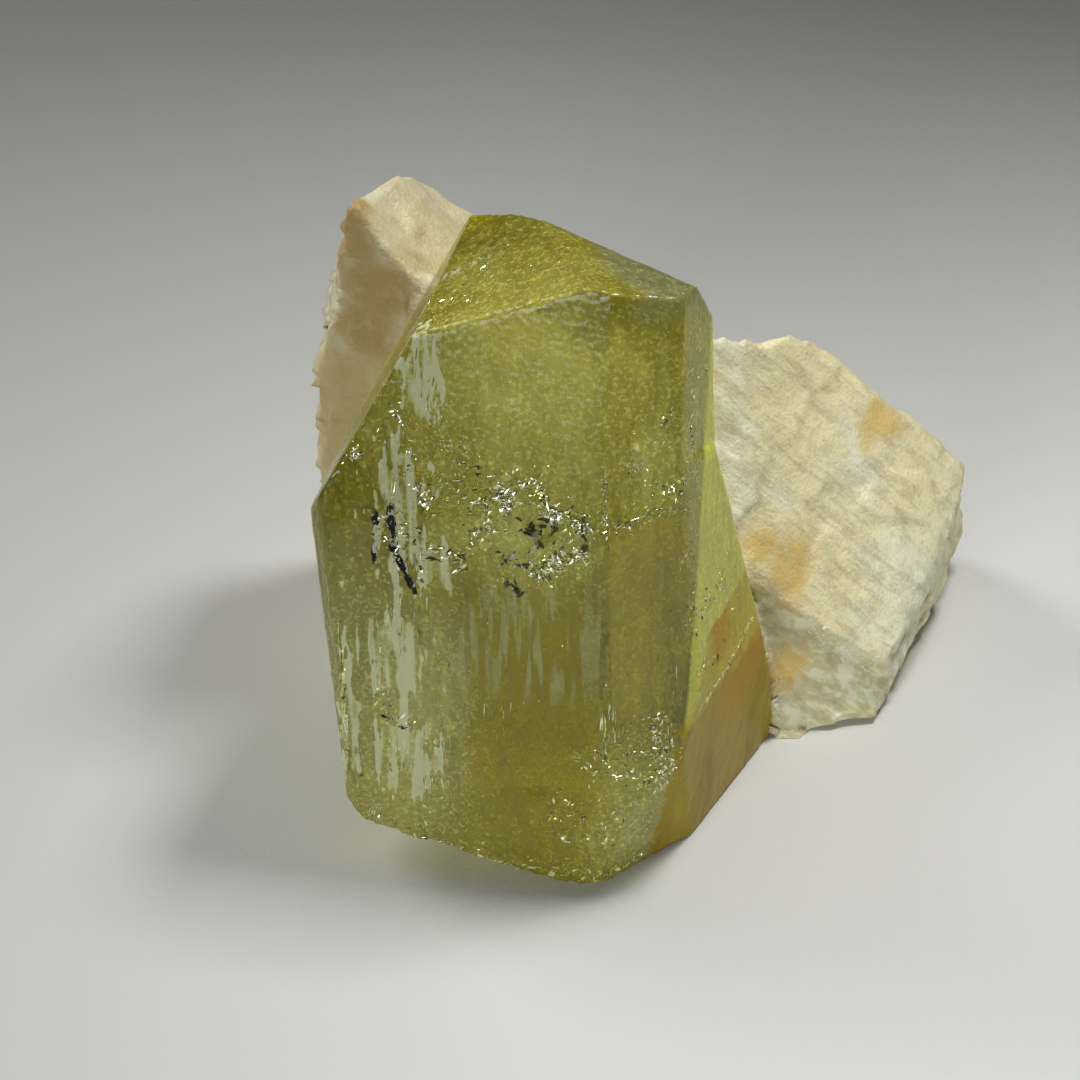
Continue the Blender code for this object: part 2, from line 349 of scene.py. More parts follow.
# The crystal is clear yellow-green brazilianite, clouded by fine inclusions and at the back where
# it grew on the rock. Its faces are glassy, finely etched and striped along the prism. Iron stains
# its foot amber.
CRYSTAL_VOXEL = 0.19 * MM
PRISM_AXIS = Vector((0.02, 0.16, 0.99)).normalized()
PRISM_LEAN = radians(-9.2)
STRIPE_LIFT = 0.022 * MM
STRIPE_WIDTH = 0.5 * MM
STRIPE_LENGTH = 9.0 * MM
ETCH_LIFT = 0.018 * MM
ETCH_SIZE = 0.7 * MM
OLIVE = (0.62, 0.58, 0.085)
DEEP_YELLOW = (0.40, 0.34, 0.0)
HAZY = (0.88, 0.87, 0.26)
LEAF_AND_GLOW = (0.88, 0.87, 0.16)
FROST_AND_SHEEN_GREY = (0.63, 0.66, 0.42)
UMBER = (0.66, 0.58, 0.10)
AMBER = (0.56, 0.30, 0.0)
DARK_AMBER = (0.33, 0.22, 0.0)
TAN = (0.40, 0.28, 0.0)
PALE_TAN = (0.54, 0.42, 0.06)
OLIVE_AMBER = (0.52, 0.42, 0.04)
GREY_GREEN_TINT_AND_SHEEN = (0.46, 0.48, 0.26)
CLEAR_TINT = (0.96, 0.96, 0.80)
BODY_COLOUR = (0.905, 0.89, 0.0)
BODY_DENSITY = 118.0

crystal = copy_of_solid("brazilianite_crystal", "brazilianite")
apply_new_modifier(crystal, "REMESH", mode="VOXEL", voxel_size=CRYSTAL_VOXEL)


def crystal_height(place, normal):
    """Stripes along the prism's faces and a fine etch all over."""
    if place.z < UNDERSIDE * CRYSTAL_VOXEL:
        return 0.0
    steep = 1.0 - abs(normal.dot(PRISM_AXIS))
    around = place - PRISM_AXIS * place.dot(PRISM_AXIS)
    stripe = noise.noise(around / STRIPE_WIDTH + PRISM_AXIS * (place.dot(PRISM_AXIS) / STRIPE_LENGTH))
    return STRIPE_LIFT * stripe * steep + ETCH_LIFT * noise.noise(place / ETCH_SIZE)


push_surface(crystal, crystal_height)
bpy.ops.object.shade_smooth()

gem = Finish("brazilianite")
grown = gem.stretched((PRISM_LEAN, 0.0, 0.0), (1.0, 1.0, 3.0))
drawn = gem.stretched((PRISM_LEAN, 0.0, 0.0), (1.0, 1.0, 12.0))
mottle = gem.noise(1.9, 2.0, 0.7, grown)
cloud = gem.noise(0.30, 1.0, 0.6, grown)
stripes = gem.noise(2.2, 1.0, 0.65, drawn)
etch = gem.noise(3.4, 0.0)
uneven = gem.ragged(0.6, 1.2, 1.0)

# Pale grey patches on the front: partly frosted inclusions, partly painted sheen standing in for cleavages
# under the face that mirror the grey room.
FROST_AND_SHEEN_PLACES = [
    ((-11.7, -8.5, 27.2), (1.0, 4.0, 2.5)),
    ((-12.7, -10.0, 20.6), (1.5, 4.0, 4.4)),
    ((-11.3, -10.6, 18.2), (1.5, 4.0, 1.6)),
    ((-13.2, -11.2, 12.8), (2.0, 4.0, 2.8)),
    ((-15.7, -11.2, 8.6), (0.5, 4.0, 4.2)),
    ((-12.8, -12.2, 6.8), (2.0, 4.0, 2.3)),
]
HAZE_PLACES = [
    ((-6.0, -10.0, 26.0), (6.5, 6.0, 5.4)),
    ((-7.5, -11.5, 20.5), (4.0, 6.0, 2.6)),
    ((-1.0, -10.0, 23.8), (2.5, 6.0, 3.2)),
    ((-2.5, -14.0, 5.0), (3.4, 6.0, 4.4)),
    ((-13.0, -11.5, 8.0), (3.2, 6.0, 8.0)),
]
above_window = gem.beyond((-2.9, -12.0, 21.0), (0.0, 0.0, -1.0), 0.12, uneven)
window = above_window * gem.beyond((-2.75, -12.5, 16.0), (1.0, 0.0, 0.03), 0.06)
window = window * gem.beyond((1.25, -11.5, 16.0), (-1.0, 0.0, 0.05), 0.10)
window = window * gem.beyond((-2.0, -13.5, 10.8), (0.0, 0.0, 1.0), 1.2, uneven)
# The right flank is painted a paler green and made cloudier: partly its own tint, partly painted glow of
# light coming through it from behind.
glowing_flank = gem.beyond((1.35, -11.2, 16.0), (1.0, 0.0, -0.05), 0.12)
FOOT_CORNER = (1.7, -11.9, 9.5)
FOOT_DOWN = (0.84, -0.39, -0.38)
foot = gem.beyond(FOOT_CORNER, FOOT_DOWN, 0.35, uneven)
foot = foot * gem.beyond((0.3, -13.0, 6.5), (0.99, 0.0, -0.14), 0.12, uneven)
olive_facet = gem.beyond((3.0, -8.5, 13.5), (0.1, 0.1, -1.0), 0.15, uneven) * (1.0 - foot)
olive_facet = olive_facet * gem.beyond((1.8, -11.3, 11.7), (1.0, 0.0, -0.168), 0.12, uneven)
centre = gem.near((-5.9, -13.5, 8.5), (3.3, 6.0, 8.5), 0.45, uneven)
streaked = gem.near((-6.6, -12.2, 14.4), (4.0, 4.0, 3.6), 0.5, uneven) * stripes.between(0.50, 0.62)
pale_side = gem.beyond((-9.7, -12.3, 9.0), (-1.0, 0.0, 0.05), 0.15, uneven)
pale_side = pale_side * gem.beyond((-12.0, -12.0, 15.5), (0.0, 0.0, -1.0), 1.5, uneven)
frost_and_sheen = (gem.spots(FROST_AND_SHEEN_PLACES, 0.9, uneven) * 1.4 + stripes * 2.6 + mottle * 2.2).between(3.28, 3.42)
frost_and_sheen = frost_and_sheen * (stripes.between(0.38, 0.58) * 0.7 + 0.3)
speck = gem.noise(4.6, 1.0, 0.7).between(0.50, 0.66)
# The right of the roof is painted grey-green, a painted reflection of the grey room at a glancing angle.
# Elsewhere the same grey-green is a streaky haze.
roof_right_sheen = gem.near((-0.6, -4.5, 31.0), (3.0, 4.6, 1.2), 0.3)
haze_here = gem.spots(HAZE_PLACES, 0.95, uneven)

body_colour = gem.blend(cloud.between(0.35, 0.65), DEEP_YELLOW, OLIVE)
body_colour = gem.blend(haze_here * 0.5 + speck * 0.35, body_colour, HAZY)
body_colour = gem.blend(centre * 0.9, body_colour, DEEP_YELLOW)
body_colour = gem.blend(streaked * 0.7, body_colour, GREY_GREEN_TINT_AND_SHEEN)
body_colour = gem.blend(window * 0.9, body_colour, UMBER)
body_colour = gem.blend(glowing_flank * 0.85, body_colour, LEAF_AND_GLOW)
body_colour = gem.blend(roof_right_sheen * 0.8, body_colour, GREY_GREEN_TINT_AND_SHEEN)
amber = gem.blend(mottle.between(0.40, 0.60), TAN, DARK_AMBER)
amber = gem.blend(cloud.between(0.45, 0.62) * 0.4, amber, PALE_TAN)
amber = gem.blend(gem.near((4.0, -7.8, 8.8), (2.2, 3.2, 3.2), 0.7, uneven) * 0.9, amber, AMBER)
body_colour = gem.blend(foot * 0.97, body_colour, amber)
body_colour = gem.blend(olive_facet * 0.85, body_colour, OLIVE_AMBER)
ochre = gem.near((2.8, -9.4, 12.4), (0.6, 1.6, 1.7), 0.5, uneven) * olive_facet
body_colour = gem.blend(ochre * 0.8, body_colour, AMBER)
# The lower left side takes a little of the same painted grey sheen, and the patches take most of it.
body_colour = gem.blend(pale_side * 0.22, body_colour, FROST_AND_SHEEN_GREY)
body_colour = gem.blend(frost_and_sheen * 0.85, body_colour, FROST_AND_SHEEN_GREY)
upper_haze = gem.near((-5.0, -9.4, 28.6), (6.6, 2.4, 2.8), 0.6, uneven)
grown_on = gem.beyond((0.0, -2.5, 22.0), (0.0, 0.95, -0.31), 1.2)
relief = gem.bump(etch * 0.6 + stripes * 0.7, 0.05 * MM, 0.8)
clear = gem.node("BsdfPrincipled", {}, {
    "Base Color": (*CLEAR_TINT, 1.0), "Roughness": 0.15, "Transmission Weight": 1.0, "IOR": 1.6,
    "Specular IOR Level": 0.32, "Normal": relief})
cloudy = gem.node("BsdfPrincipled", {}, {
    "Base Color": body_colour, "Roughness": 0.3, "IOR": 1.3, "Specular IOR Level": 0.2, "Normal": relief})
share = mottle.between(0.38, 0.64) * 0.14 + haze_here * 0.27 + 0.15
share = share + speck * 0.14 + frost_and_sheen * 0.6 + glowing_flank * 0.42 + window * 0.10 + foot * 0.58
share = share + olive_facet * 0.22 + streaked * 0.34 + upper_haze * 0.16 + grown_on * 0.4 + centre * 0.12
gem.surface(gem.node("MixShader", {}, [share, clear, cloudy]))
body = gem.node("VolumeAbsorption", {}, {"Color": (*BODY_COLOUR, 1.0), "Density": BODY_DENSITY})
gem.links.new(body.socket, gem.output.inputs["Volume"])
crystal.data.materials.append(gem.material)
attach(crystal, "root")
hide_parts("brazilianite_crystal")

# Old fractures run through the crystal as crumpled veils of air and fluid, a little under its
# front faces. They catch the light in many small glints, and are torn where the crystal has healed.
GLINT = (0.97, 0.97, 0.74)
DIM_GLINT = (0.60, 0.60, 0.24)
RAY_START = -60 * MM
VEIL_SEED = 7
VEIL_CELL = 0.15 * MM
VEIL_CRUMPLE = 0.16 * MM
VEIL_CREASE = 0.42 * MM
VEIL_STRAND = 1.1 * MM
VEIL_PATCH = 1.7 * MM
VEIL_WAVE = 2.2 * MM
VEIL_SHEETS = [
    ((-12.0, 19.2), (3.2, 1.0), -22, (0.05, 0.30), 0.10),
    ((-9.4, 22.0), (2.8, 1.1), -18, (0.05, 0.40), 0.09),
    ((-6.4, 20.5), (3.8, 1.9), 14, (0.02, 0.35), 0.27),
    ((-6.0, 18.3), (3.2, 1.2), 22, (0.02, 0.30), 0.25),
    ((-3.1, 21.8), (0.5, 2.0), 0, (0.05, 0.30), 0.13),
    ((-1.2, 21.3), (2.3, 0.7), 8, (0.05, 0.30), 0.13),
    ((-0.5, 24.8), (2.6, 1.4), 46, (0.05, 0.40), 0.10),
    ((1.0, 19.8), (0.35, 5.0), 0, (0.03, 0.15), 0.12),
    ((-1.6, 7.0), (3.2, 2.2), -30, (0.03, 0.30), 0.17),
    ((-3.4, 4.0), (3.6, 1.6), -8, (0.03, 0.30), 0.15),
    ((-14.9, 4.0), (0.7, 2.2), 10, (0.05, 0.30), 0.12),
    ((-11.4, 1.6), (3.4, 0.6), -5, (0.05, 0.25), 0.12),
    ((-13.5, 9.2), (1.5, 1.8), 20, (0.05, 0.35), 0.11),
    ((2.0, 11.8), (1.0, 0.6), -35, (0.05, 0.20), 0.11),
    ((2.4, 5.8), (1.5, 1.2), -40, (0.05, 0.30), 0.08),
    ((-12.4, 20.6), (1.6, 2.0), 70, (0.02, 0.20), 0.12),
    ((-12.6, 23.8), (1.2, 1.4), 30, (0.05, 0.30), 0.10),
]


def front_point(piece, x, z):
    """Where a piece's front stands at this x and z in metres, with its normal, or nothing."""
    found, point, normal, index = piece.ray_cast(Vector((x, RAY_START, z)), Vector((0, 1, 0)))
    return (point, normal) if found else None


def roof_point(piece, x, y):
    """Where a piece's top stands at this x and y in metres, with its normal, or nothing."""
    found, point, normal, index = piece.ray_cast(Vector((x, y, -RAY_START)), Vector((0, 0, -1)))
    return (point, normal) if found else None


def crumpled_veils(name, sheets):
    """Creased sheets under the front, torn to strands: middle (x, z), half size, turn, depths, width."""
    points = []
    faces = []
    for middle, half, turn, depths, width in sheets:
        along = Vector((cos(radians(turn)), sin(radians(turn))))
        up = Vector((-along.y, along.x))
        columns = int(2 * half[0] * MM / VEIL_CELL)
        rows = int(2 * half[1] * MM / VEIL_CELL)
        placed = {}
        for column in range(columns + 1):
            for row in range(rows + 1):
                u = 2 * column / columns - 1
                v = 2 * row / rows - 1
                flat = (Vector(middle) + along * (u * half[0]) + up * (v * half[1])) * MM
                hit = front_point(crystal, flat.x, flat.y)
                if hit is None:
                    continue
                point, normal = hit
                strand = abs(noise.noise(point / VEIL_STRAND + Vector((0, 0, 7)) * turn))
                fuller = 0.6 + 1.4 * max(-0.4, noise.noise(point / VEIL_PATCH))
                if strand > width * fuller * (1.0 - max(0.0, u * u + v * v - 0.5)):
                    continue
                slope = 0.5 + 0.5 * noise.noise(point / VEIL_WAVE) + 0.3 * u
                depth = depths[0] + (depths[1] - depths[0]) * min(1.0, max(0.0, slope))
                crease = noise.noise_vector(point / VEIL_CREASE) * VEIL_CRUMPLE
                placed[column, row] = len(points)
                points.append(point - normal * (depth * MM + VEIL_CRUMPLE * 0.5) + crease)
        for column, row in placed:
            corners = [(column, row), (column + 1, row), (column + 1, row + 1), (column, row + 1)]
            if all(corner in placed for corner in corners):
                a, b, c, d = (placed[corner] for corner in corners)
                faces.extend([(a, b, c), (a, c, d)])
    mesh = bpy.data.meshes.new(name)
    mesh.from_pydata(points, [], faces)
    piece = bpy.data.objects.new(name, mesh)
    bpy.context.scene.collection.objects.link(piece)
    select_only(piece)
    bpy.ops.object.mode_set(mode="EDIT")
    bpy.ops.mesh.select_all(action="SELECT")
    bpy.ops.mesh.delete_loose()
    bpy.ops.object.mode_set(mode="OBJECT")
    return piece


noise.seed_set(VEIL_SEED)
veils = crumpled_veils("fracture_veils", VEIL_SHEETS)
glassy = Finish("fracture veils")
tone = glassy.noise(1.5, 2.0)
glint_colour = glassy.blend(tone.between(0.36, 0.60), DIM_GLINT, GLINT)
glassy.surface(glassy.node("BsdfPrincipled", {}, {
    "Base Color": glint_colour, "Roughness": 0.15, "Metallic": 1.0}))
veils.data.materials.append(glassy.material)
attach(veils, "root")

# Where a fracture meets a face, the crystal is broken into bright splinters. They still sit in
# the face, and line the worn edges too.
SPLINTER_SEED = 11
SPLINTER_WIDTHS = (0.14, 0.45)
SPLINTER_THINNESS = 0.14
SPLINTER_JAGS = (0.7, 1.15)
SPLINTERS = [
    ((-13.6, 20.6), (-12.2, 16.6), 0.5, 34, (0.10, 0.34), (-0.03, 0.03), 100, 30, 22),
    ((-6.4, 23.2), (-5.8, 22.0), 0.4, 40, (0.08, 0.28), (-0.03, 0.02), 60, 40, 24),
    ((-8.2, 22.6), (-7.4, 21.4), 0.45, 64, (0.08, 0.30), (-0.03, 0.02), 60, 40, 24),
    ((-5.9, 21.8), (-5.3, 21.2), 0.4, 46, (0.10, 0.36), (-0.03, 0.02), -30, 40, 24),
    ((-4.8, 21.9), (-4.0, 20.8), 0.5, 64, (0.08, 0.30), (-0.03, 0.02), 50, 50, 24),
    ((-6.6, 18.4), (-4.0, 19.8), 0.6, 140, (0.08, 0.34), (-0.03, 0.02), 40, 50, 24),
    ((-9.6, 20.2), (-8.2, 20.4), 0.2, 24, (0.10, 0.30), (-0.03, 0.02), 10, 50, 24),
    ((-12.0, 22.2), (-11.4, 20.6), 0.3, 24, (0.10, 0.34), (-0.03, 0.02), 70, 40, 24),
    ((-13.0, 26.0), (-12.2, 24.6), 0.3, 20, (0.10, 0.30), (-0.03, 0.02), 60, 40, 24),
    ((-0.9, 22.6), (0.6, 22.0), 0.6, 60, (0.06, 0.22), (-0.03, 0.02), 60, 50, 24),
    ((1.2, 15.6), (2.6, 14.6), 0.8, 60, (0.05, 0.20), (-0.03, 0.02), 60, 50, 24),
    ((-12.7, 28.1), (-15.6, 22.4), 0.12, 60, (0.04, 0.18), (-0.01, 0.04), 62, 14, 24),
    ((-15.0, 23.4), (-14.8, 22.9), 0.3, 44, (0.08, 0.26), (-0.02, 0.04), 60, 50, 20),
    ((-11.2, 25.4), (-9.2, 23.2), 1.0, 70, (0.05, 0.22), (-0.02, 0.06), 60, 50, 24),
    ((2.4, 16.0), (3.6, 12.6), 0.6, 50, (0.05, 0.18), (-0.02, 0.04), 60, 50, 24),
    ((4.6, 10.9), (1.7, 9.3), 0.14, 60, (0.04, 0.20), (-0.02, 0.02), 27, 30, 24),
    ((-0.5, 10.4), (-0.1, 5.6), 0.5, 110, (0.06, 0.24), (-0.03, 0.02), 70, 40, 24),
    ((-14.0, 20.2), (-9.5, 18.3), 0.8, 130, (0.08, 0.34), (-0.02, 0.08), 20, 25, 26),
    ((-11.5, 22.6), (-7.5, 21.0), 1.2, 130, (0.06, 0.26), (-0.02, 0.08), 40, 25, 26),
    ((-9.0, 21.8), (-6.2, 23.2), 0.9, 100, (0.07, 0.32), (-0.02, 0.08), 50, 25, 26),
    ((-9.5, 19.5), (-3.3, 21.6), 1.6, 90, (0.05, 0.22), (-0.02, 0.10), 55, 60, 26),
    ((-8.5, 17.4), (-3.6, 19.4), 0.8, 70, (0.05, 0.22), (-0.02, 0.10), 35, 60, 26),
    ((-3.2, 24.0), (-3.0, 20.4), 0.2, 40, (0.06, 0.26), (-0.02, 0.06), 85, 15, 26),
    ((-3.0, 20.9), (0.9, 21.2), 0.4, 80, (0.06, 0.22), (-0.02, 0.08), 30, 30, 26),
    ((-2.0, 23.0), (1.2, 27.2), 1.1, 150, (0.05, 0.22), (-0.02, 0.08), 50, 30, 26),
    ((0.9, 25.5), (1.3, 14.0), 0.2, 130, (0.05, 0.20), (-0.02, 0.05), 80, 25, 26),
    ((-3.6, 8.4), (0.4, 6.4), 2.0, 300, (0.06, 0.26), (-0.02, 0.08), 60, 50, 26),
    ((-5.8, 5.0), (-0.8, 3.4), 1.5, 240, (0.06, 0.24), (-0.02, 0.08), 40, 50, 26),
    ((-15.4, 5.0), (-14.4, 2.4), 0.4, 60, (0.06, 0.26), (-0.02, 0.10), 60, 25, 26),
    ((-13.8, 1.8), (-11.0, 1.6), 0.4, 80, (0.06, 0.26), (-0.02, 0.10), 15, 25, 26),
    ((-14.4, 10.6), (-12.6, 8.4), 0.6, 70, (0.06, 0.26), (-0.02, 0.10), 40, 30, 26),
    ((-15.9, 12.0), (-15.9, 6.0), 0.15, 40, (0.10, 0.50), (-0.02, 0.04), 88, 6, 15),
    ((1.6, 12.2), (2.8, 11.4), 0.5, 60, (0.05, 0.20), (-0.02, 0.08), 50, 25, 26),
    ((-13.6, 24.6), (-12.0, 22.8), 0.5, 60, (0.06, 0.24), (-0.02, 0.08), 60, 25, 26),
    ((-14.0, 16.0), (1.0, 14.0), 16.0, 420, (0.03, 0.10), (-0.01, 0.10), 75, 30, 24),
    ((-10.5, 21.5), (-3.4, 23.0), 2.6, 160, (0.03, 0.14), (-0.01, 0.10), 60, 40, 26),
    ((-13.5, 1.3), (-0.6, 0.8), 0.5, 120, (0.05, 0.22), (-0.02, 0.08), 15, 40, 26),
]
ROOF_SPLINTERS = [
    ((-5.6, -5.4), (-4.6, -4.2), 0.3, 24, (0.05, 0.14), (0.01, 0.08), 45, 25, 14),
]


def scatter_splinters(name, host, front_bands, roof_bands, widths, seed):
    """Thin jagged chips in bands: from, to, width, count, lengths, depths, lean, stray, tilt.

    From and to are x and z on the front, or x and y on the roof. The first five and the depths are in
    millimetres, but for the count, and the rest in degrees. A chip's width is a share of its length.
    """
    bpy.ops.mesh.primitive_ico_sphere_add(subdivisions=1, radius=1.0)
    chip = bpy.context.object
    corners = [v.co.copy() for v in chip.data.vertices]
    sides = [p.vertices[:] for p in chip.data.polygons]
    bpy.data.objects.remove(chip)
    chance = random.Random(seed)
    points = []
    faces = []
    on_front = [(front_point, Vector((0, 0, 1)), band) for band in front_bands]
    on_roof = [(roof_point, Vector((0, 1, 0)), band) for band in roof_bands]
    for point_at, second_way, band in on_front + on_roof:
        start, end, width, count, lengths, depths, lean, stray, tilt = band
        line = Vector(end) - Vector(start)
        across = Vector((-line.y, line.x)).normalized() * width
        for number in range(count):
            flat = (Vector(start) + line * chance.random() + across * chance.gauss(0.0, 0.5)) * MM
            hit = point_at(host, flat.x, flat.y)
            if hit is None:
                continue
            point, normal = hit
            length = chance.uniform(*lengths) * MM
            angle = radians(lean + chance.gauss(0.0, stray))
            long_way = Vector((cos(angle), 0, 0)) + second_way * sin(angle)
            across_way = normal.cross(long_way).normalized()
            lifted = Matrix.Rotation(radians(chance.gauss(0.0, tilt)), 3, across_way)
            long_way = (lifted @ across_way.cross(normal)).normalized()
            tipped = Matrix.Rotation(radians(chance.gauss(0.0, tilt)), 3, long_way) @ (lifted @ normal)
            wide_way = tipped.cross(long_way)
            middle = point - normal * chance.uniform(*depths) * MM
            first = len(points)
            wide = length * chance.uniform(*widths)
            for corner in corners:
                corner = corner * chance.uniform(*SPLINTER_JAGS)
                points.append(middle + long_way * (corner.x * length) + wide_way * (corner.y * wide)
                              + tipped * (corner.z * length * SPLINTER_THINNESS))
            faces.extend([tuple(first + corner for corner in side) for side in sides])
    mesh = bpy.data.meshes.new(name)
    mesh.from_pydata(points, [], faces)
    piece = bpy.data.objects.new(name, mesh)
    bpy.context.scene.collection.objects.link(piece)
    return piece


splinters = scatter_splinters(
    "bright_splinters", crystal, SPLINTERS, ROOF_SPLINTERS, SPLINTER_WIDTHS, SPLINTER_SEED)
splinters.data.materials.append(glassy.material)
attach(splinters, "root")

# Paler flecks lie between the splinters and a little deeper. They are small inclusions in the
# crystal, too cloudy to glint.
FLECK_SEED = 23
FLECK_WIDTHS = (0.14, 0.5)
FLECKS = [
    ((-10.5, 19.6), (-3.4, 22.2), 3.0, 240, (0.04, 0.18), (0.0, 0.10), 60, 60, 26),
    ((-8.6, 17.4), (-3.4, 19.6), 1.4, 120, (0.04, 0.18), (0.0, 0.10), 40, 60, 26),
    ((-2.6, 22.2), (0.8, 24.4), 2.4, 160, (0.05, 0.20), (0.0, 0.10), 60, 50, 26),
    ((-4.6, 7.6), (0.2, 4.6), 3.0, 240, (0.04, 0.16), (0.0, 0.10), 60, 50, 26),
    ((-15.0, 10.0), (-11.0, 3.0), 3.4, 200, (0.05, 0.26), (0.0, 0.10), 70, 40, 26),
    ((-13.8, 1.3), (-1.0, 0.8), 0.7, 160, (0.06, 0.26), (-0.02, 0.06), 15, 50, 26),
    ((4.6, 10.9), (1.7, 9.3), 0.10, 70, (0.05, 0.22), (-0.02, 0.02), 27, 12, 24),
    ((-11.6, 25.6), (-8.6, 22.6), 1.6, 120, (0.05, 0.22), (0.0, 0.10), 60, 50, 26),
]
ROOF_FLECKS = [((-11.5, -7.0), (-7.0, -3.0), 1.6, 110, (0.04, 0.16), (0.0, 0.08), 45, 18, 20)]
FLECK_COLOUR = (0.86, 0.85, 0.34)
flecks = scatter_splinters("pale_flecks", crystal, FLECKS, ROOF_FLECKS, FLECK_WIDTHS, FLECK_SEED)
hazy = Finish("pale flecks")
hazy.surface(hazy.node("BsdfPrincipled", {}, {"Base Color": (*FLECK_COLOUR, 1.0), "Roughness": 0.35}))
flecks.data.materials.append(hazy.material)
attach(flecks, "root")

# Small white chips lie along the rock's ledge, where it broke. They are painted highlights standing in for
# its cleavage faces flashing in the light, and sit in the rock's own surface.
HIGHLIGHT_SEED = 31
HIGHLIGHT_WIDTHS = (0.3, 0.8)
PAINTED_HIGHLIGHT_COLOUR = (1.0, 0.99, 0.93)
PAINTED_HIGHLIGHTS = [
    ((7.8, 6.6), (11.9, 3.2), 0.8, 150, (0.04, 0.15), (-0.01, 0.03), -30, 50, 20),
    ((12.5, 9.0), (13.6, 5.0), 1.6, 50, (0.04, 0.15), (-0.01, 0.03), -30, 50, 20),
]
highlight_chips = scatter_splinters("albite_painted_highlights", rock, PAINTED_HIGHLIGHTS, [], HIGHLIGHT_WIDTHS, HIGHLIGHT_SEED)
highlight_finish = Finish("albite painted highlights")
highlight_finish.surface(highlight_finish.node("BsdfPrincipled", {}, {"Base Color": (*PAINTED_HIGHLIGHT_COLOUR, 1.0), "Roughness": 0.2}))
highlight_chips.data.materials.append(highlight_finish.material)
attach(highlight_chips, "root")

# Growth lines run along the prism, where one layer of the crystal ends on the next. Their
# edges catch the light as thin pale threads.
STRIAE_SEED = 3
STRIAE_WIDTHS = (0.03, 0.07)
STRIAE = [
    ((-3.3, 10.2), (-2.2, 10.5), 0.9, 30, (0.30, 0.80), (0.0, 0.02), 89, 1, 14),
    ((-9.0, 10.6), (-7.4, 10.4), 1.0, 12, (0.30, 0.70), (0.0, 0.02), 89, 1, 14),
    ((-16.0, 14.0), (-15.7, 5.0), 0.1, 40, (0.40, 1.20), (0.0, 0.02), 89, 1, 14),
    ((-13.9, 14.5), (-11.5, 13.0), 2.4, 40, (0.25, 0.80), (0.0, 0.02), 89, 1, 14),
    ((-13.4, 7.5), (-10.8, 6.2), 2.2, 34, (0.25, 0.80), (0.0, 0.02), 89, 1, 14),
    ((-13.2, 22.4), (-12.2, 17.0), 0.8, 40, (0.25, 0.80), (0.0, 0.02), 88, 3, 14),
    ((-12.2, 28.4), (-10.8, 25.4), 0.9, 26, (0.20, 0.60), (0.0, 0.02), 88, 3, 14),
    ((1.0, 15.0), (-0.2, 6.0), 0.3, 30, (0.15, 0.60), (0.0, 0.02), 88, 4, 14),
    ((-3.1, 23.8), (-2.8, 19.5), 0.04, 10, (0.20, 0.70), (0.0, 0.02), 89, 1, 10),
    ((-3.0, 20.9), (-0.7, 21.5), 0.08, 20, (0.20, 0.60), (0.0, 0.02), 14, 6, 14),
    ((-0.7, 21.5), (1.1, 20.9), 0.08, 16, (0.20, 0.60), (0.0, 0.02), -18, 6, 14),
]
ROOF_STRIAE = [
    ((-11.6, -7.0), (-7.4, -2.6), 1.3, 46, (0.10, 0.34), (0.0, 0.02), 45, 7, 16),
    ((-9.0, -6.6), (-5.6, -5.0), 0.6, 14, (0.10, 0.35), (0.0, 0.02), 40, 9, 16),
]
striae = scatter_splinters("pale_striae", crystal, STRIAE, ROOF_STRIAE, STRIAE_WIDTHS, STRIAE_SEED)
striae.data.materials.append(glassy.material)
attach(striae, "root")

# Where the fractures open at the face they leave cracks and small hollows. Their black and dark green is
# painted shade inside the openings, and some chips are grey.
CRACK_SEED = 5
CRACK_WIDTHS = (0.12, 0.36)
CRACK_SHADE_BLACK = (0.012, 0.014, 0.008)
CRACK_GREY = (0.55, 0.56, 0.45)
HOLLOW_SHADE_GREEN = (0.07, 0.075, 0.02)
CRACKS = [
    ((-13.95, 20.2), (-14.1, 17.8), 0.05, 12, (0.30, 0.60), (-0.02, 0.02), 88, 14, 8),
    ((-13.3, 21.2), (-13.1, 18.6), 0.12, 16, (0.30, 0.65), (-0.02, 0.02), 82, 18, 8),
    ((-13.1, 18.7), (-12.2, 16.3), 0.12, 20, (0.30, 0.60), (-0.02, 0.02), 112, 16, 8),
    ((-12.0, 18.7), (-10.9, 18.2), 0.10, 7, (0.20, 0.40), (-0.02, 0.02), 155, 25, 10),
    ((-6.9, 20.3), (-5.4, 21.1), 0.7, 40, (0.18, 0.55), (-0.02, 0.03), 45, 60, 20),
    ((-7.5, 17.6), (-7.1, 16.9), 0.28, 18, (0.20, 0.45), (-0.02, 0.03), 55, 60, 20),
    ((-8.4, 19.0), (-5.6, 18.4), 0.6, 26, (0.12, 0.40), (-0.02, 0.03), 160, 60, 20),
    ((-4.2, 21.6), (-4.0, 20.0), 0.2, 14, (0.15, 0.40), (-0.02, 0.03), 70, 40, 20),
    ((-10.6, 18.9), (-9.8, 18.5), 0.3, 10, (0.10, 0.30), (-0.02, 0.03), 20, 60, 20),
    ((-10.7, 12.9), (-10.5, 12.0), 0.10, 4, (0.15, 0.30), (-0.02, 0.04), 80, 25, 15),
    ((-14.0, 8.9), (-12.9, 8.3), 0.10, 8, (0.15, 0.35), (-0.02, 0.04), 160, 25, 15),
    ((-13.0, 28.6), (-12.4, 28.2), 0.15, 4, (0.12, 0.25), (-0.02, 0.04), 40, 25, 20),
    ((-9.2, 23.4), (-8.8, 22.6), 0.2, 8, (0.10, 0.25), (-0.02, 0.04), 70, 40, 20),
]
cracks = scatter_splinters("open_cracks_in_painted_shade", crystal, CRACKS, [], CRACK_WIDTHS, CRACK_SEED)
crack_shade_finish = Finish("open cracks in painted shade")
patch = crack_shade_finish.noise(1.6, 2.0)
